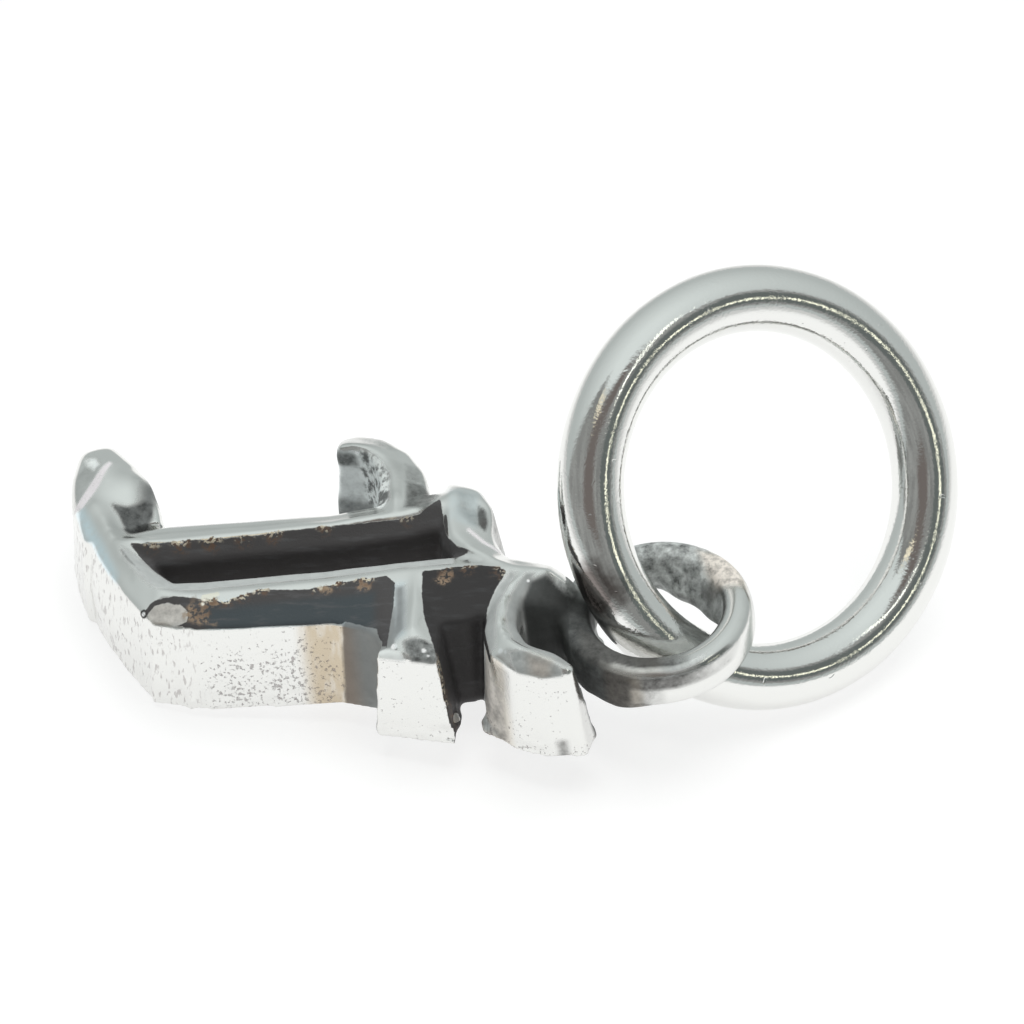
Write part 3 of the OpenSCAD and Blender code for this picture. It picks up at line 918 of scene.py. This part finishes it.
material, tree, shader = newMaterial("wireSilver")
place = millimetres(tree)
smokeScale, smokeShift = wireSilver["smokeEdge"]
away = total(tree, awayFrom(tree, place, wireSilver["smokeAt"]),
             swing(tree, noiseOf(tree, place, smokeScale), smokeShift))
smokeShare = ramp(tree, away, *wireSilver["smokeSize"])
colour = blend(tree, smokeShare, wireSilver["silver"], wireSilver["smoked"])
tree.links.new(colour, shader.inputs["Base Color"])
shader.inputs["Metallic"].default_value = 1.0
patches = ramp(tree, noiseOf(tree, place, 0.7), 0.40, 0.62)
tree.links.new(ramp(tree, patches, 0.0, 1.0, *wireSilver["roughness"]), shader.inputs["Roughness"])
ripples = noiseOf(tree, place, *wireSilver["ripple"])
ripples = product(tree, ripples, ramp(tree, patches, 0.0, 1.0, 0.45, 1.0))
nicks = ramp(tree, noiseOf(tree, place, 3.0, 1.0), 0.74, 0.78)
addBump(tree, shader, less(tree, ripples, nicks), *wireSilver["bump"])
ringPiece.data.materials.append(material)
print("finishes made")


# Table, lights and surroundings

table = {
    "radius": 1.2,
    "below": 0.02,          # how far under the charm it lies, in millimetres
    "white": (0.34, 0.34, 0.337),
    "roughness": 0.9,
    # painted light: the table glows, brightest round the charm and fading away from it
    "glow": (0.74, 0.38),   # near the charm and far from it
    "fades": (22.0, 80.0),  # where the glow fades, in millimetres from its middle
    "glowAt": (0.0, -6.0, 0.0),
    "glowStretch": (1.15, 1.0, 1.0),
}

bm = bmesh.new()
bmesh.ops.create_circle(bm, cap_ends=True, segments=96, radius=table["radius"],
                        matrix=Matrix.Translation((0, 0, -table["below"] * millimetre)))
floor = addObject("table", meshFrom(bm, "table"))
material, tree, shader = newMaterial("palePaper")
shader.inputs["Base Color"].default_value = (*table["white"], 1.0)
shader.inputs["Roughness"].default_value = table["roughness"]
shader.inputs["Specular IOR Level"].default_value = 0.0
shader.inputs["Emission Color"].default_value = (1.0, 1.0, 1.0, 1.0)
# Painted light: the table's own glow, a pool brightest round the charm
away = awayFrom(tree, millimetres(tree, table["glowStretch"]), table["glowAt"])
tree.links.new(ramp(tree, away, *table["fades"], *table["glow"]), shader.inputs["Emission Strength"])
floor.data.materials.append(material)

softbox = {"place": (0.05, 0.15, 0.6), "size": 0.5, "power": 2.2}
lamp = bpy.data.lights.new("softbox", "AREA")
lamp.shape = "SQUARE"
lamp.size = softbox["size"]
lamp.energy = softbox["power"]
lampObject = addObject("softbox", lamp)
lampObject.location = softbox["place"]
lampObject.rotation_euler = (-lampObject.location).to_track_quat("-Z", "Y").to_euler()
lampObject.visible_glossy = False

# What stands round the table, each thing over the ones before it: its colour, its compass bearings (-90 is
# the camera's side), its heights and the softness of its edge, all in degrees, and its shape if not upright
studio = {
    "overhead": (0.765, 0.822, 0.815),
    "farLow": (0.500, 0.540, 0.535),
    "skyHeights": (78.0, 16.0),  # between which the first turns into the second
    "below": (0.6, 0.6, 0.6),
    "mottling": (0.72, 1.28),    # how dark and how pale the camera's side is in places
    "windows": {
        "cameraSide": ((0.285, 0.292, 0.285), (-176.0, -6.0), (7.0, 70.0), 5.0,
                       {"lean": 1.6, "leanFrom": 43.0}),
        "behindCamera": ((0.175, 0.155, 0.147), (-122.0, -78.0), (30.0, 66.0), 8.0, {}),
        "aboveCamera": ((0.175, 0.155, 0.147), (-115.0, -46.0), (54.0, 68.0), 5.0, {}),
        "lampFrame": ((0.140, 0.158, 0.154), (-50.0, -13.0), (13.0, 42.0), 4.0, {}),
        "strip": ((1.05, 0.96, 0.74), (-148.0, -106.0), (63.5, 69.0), 2.5, {}),
        "streak": ((1.7, 1.75, 1.6), (-44.0, -19.0), (65.5, 70.3), 1.5, {"climb": 0.47}),
        "lamp": ((1.45, 1.45, 1.18), (-34.0, -25.0), (22.4, 26.2), 1.2, {}),
    },
}

world = bpy.data.worlds.new("studio")
scene.world = world
world.use_nodes = True
tree = world.node_tree
direction = addNode(tree, "ShaderNodeTexCoord").outputs["Generated"]
parts = addNode(tree, "ShaderNodeSeparateXYZ", {0: direction}).outputs
high = product(tree, maths(tree, "ARCSINE", parts[2]), 180 / math.pi)
bearing = product(tree, maths(tree, "ARCTAN2", parts[1], parts[0]), 180 / math.pi)
mottle = ramp(tree, noiseOf(tree, direction, 5.0, 4.0, 0.6), 0.25, 0.75, *studio["mottling"])


def window(bearings, heights, soft, lean=0.0, leanFrom=0.0, climb=0.0):
    # soft-edged, between two bearings and two heights; its right side may lean, its top may climb
    (left, right), (low, top) = bearings, heights
    across = total(tree, bearing, product(tree, largest(tree, less(tree, high, leanFrom), 0.0), lean))
    rise = less(tree, high, product(tree, bearing, climb))
    return product(tree, ramp(tree, bearing, left - soft, left + soft),
                   ramp(tree, across, right + soft, right - soft),
                   ramp(tree, rise, low - soft * 0.5, low + soft * 0.5),
                   ramp(tree, rise, top + soft, top - soft))


lowShare = ramp(tree, high, *studio["skyHeights"], kind="LINEAR")
colour = blend(tree, lowShare, studio["overhead"], studio["farLow"])
for name, (tint, bearings, heights, soft, shape) in studio["windows"].items():
    if name == "cameraSide":
        tint = scaled(tree, tint, mottle)
    colour = blend(tree, window(bearings, heights, soft, **shape), colour, tint)
colour = blend(tree, ramp(tree, high, 0.5, -0.5), colour, studio["below"])
tree.links.new(colour, tree.nodes["Background"].inputs["Color"])
scene.view_settings.view_transform = "Standard"
print("studio made")
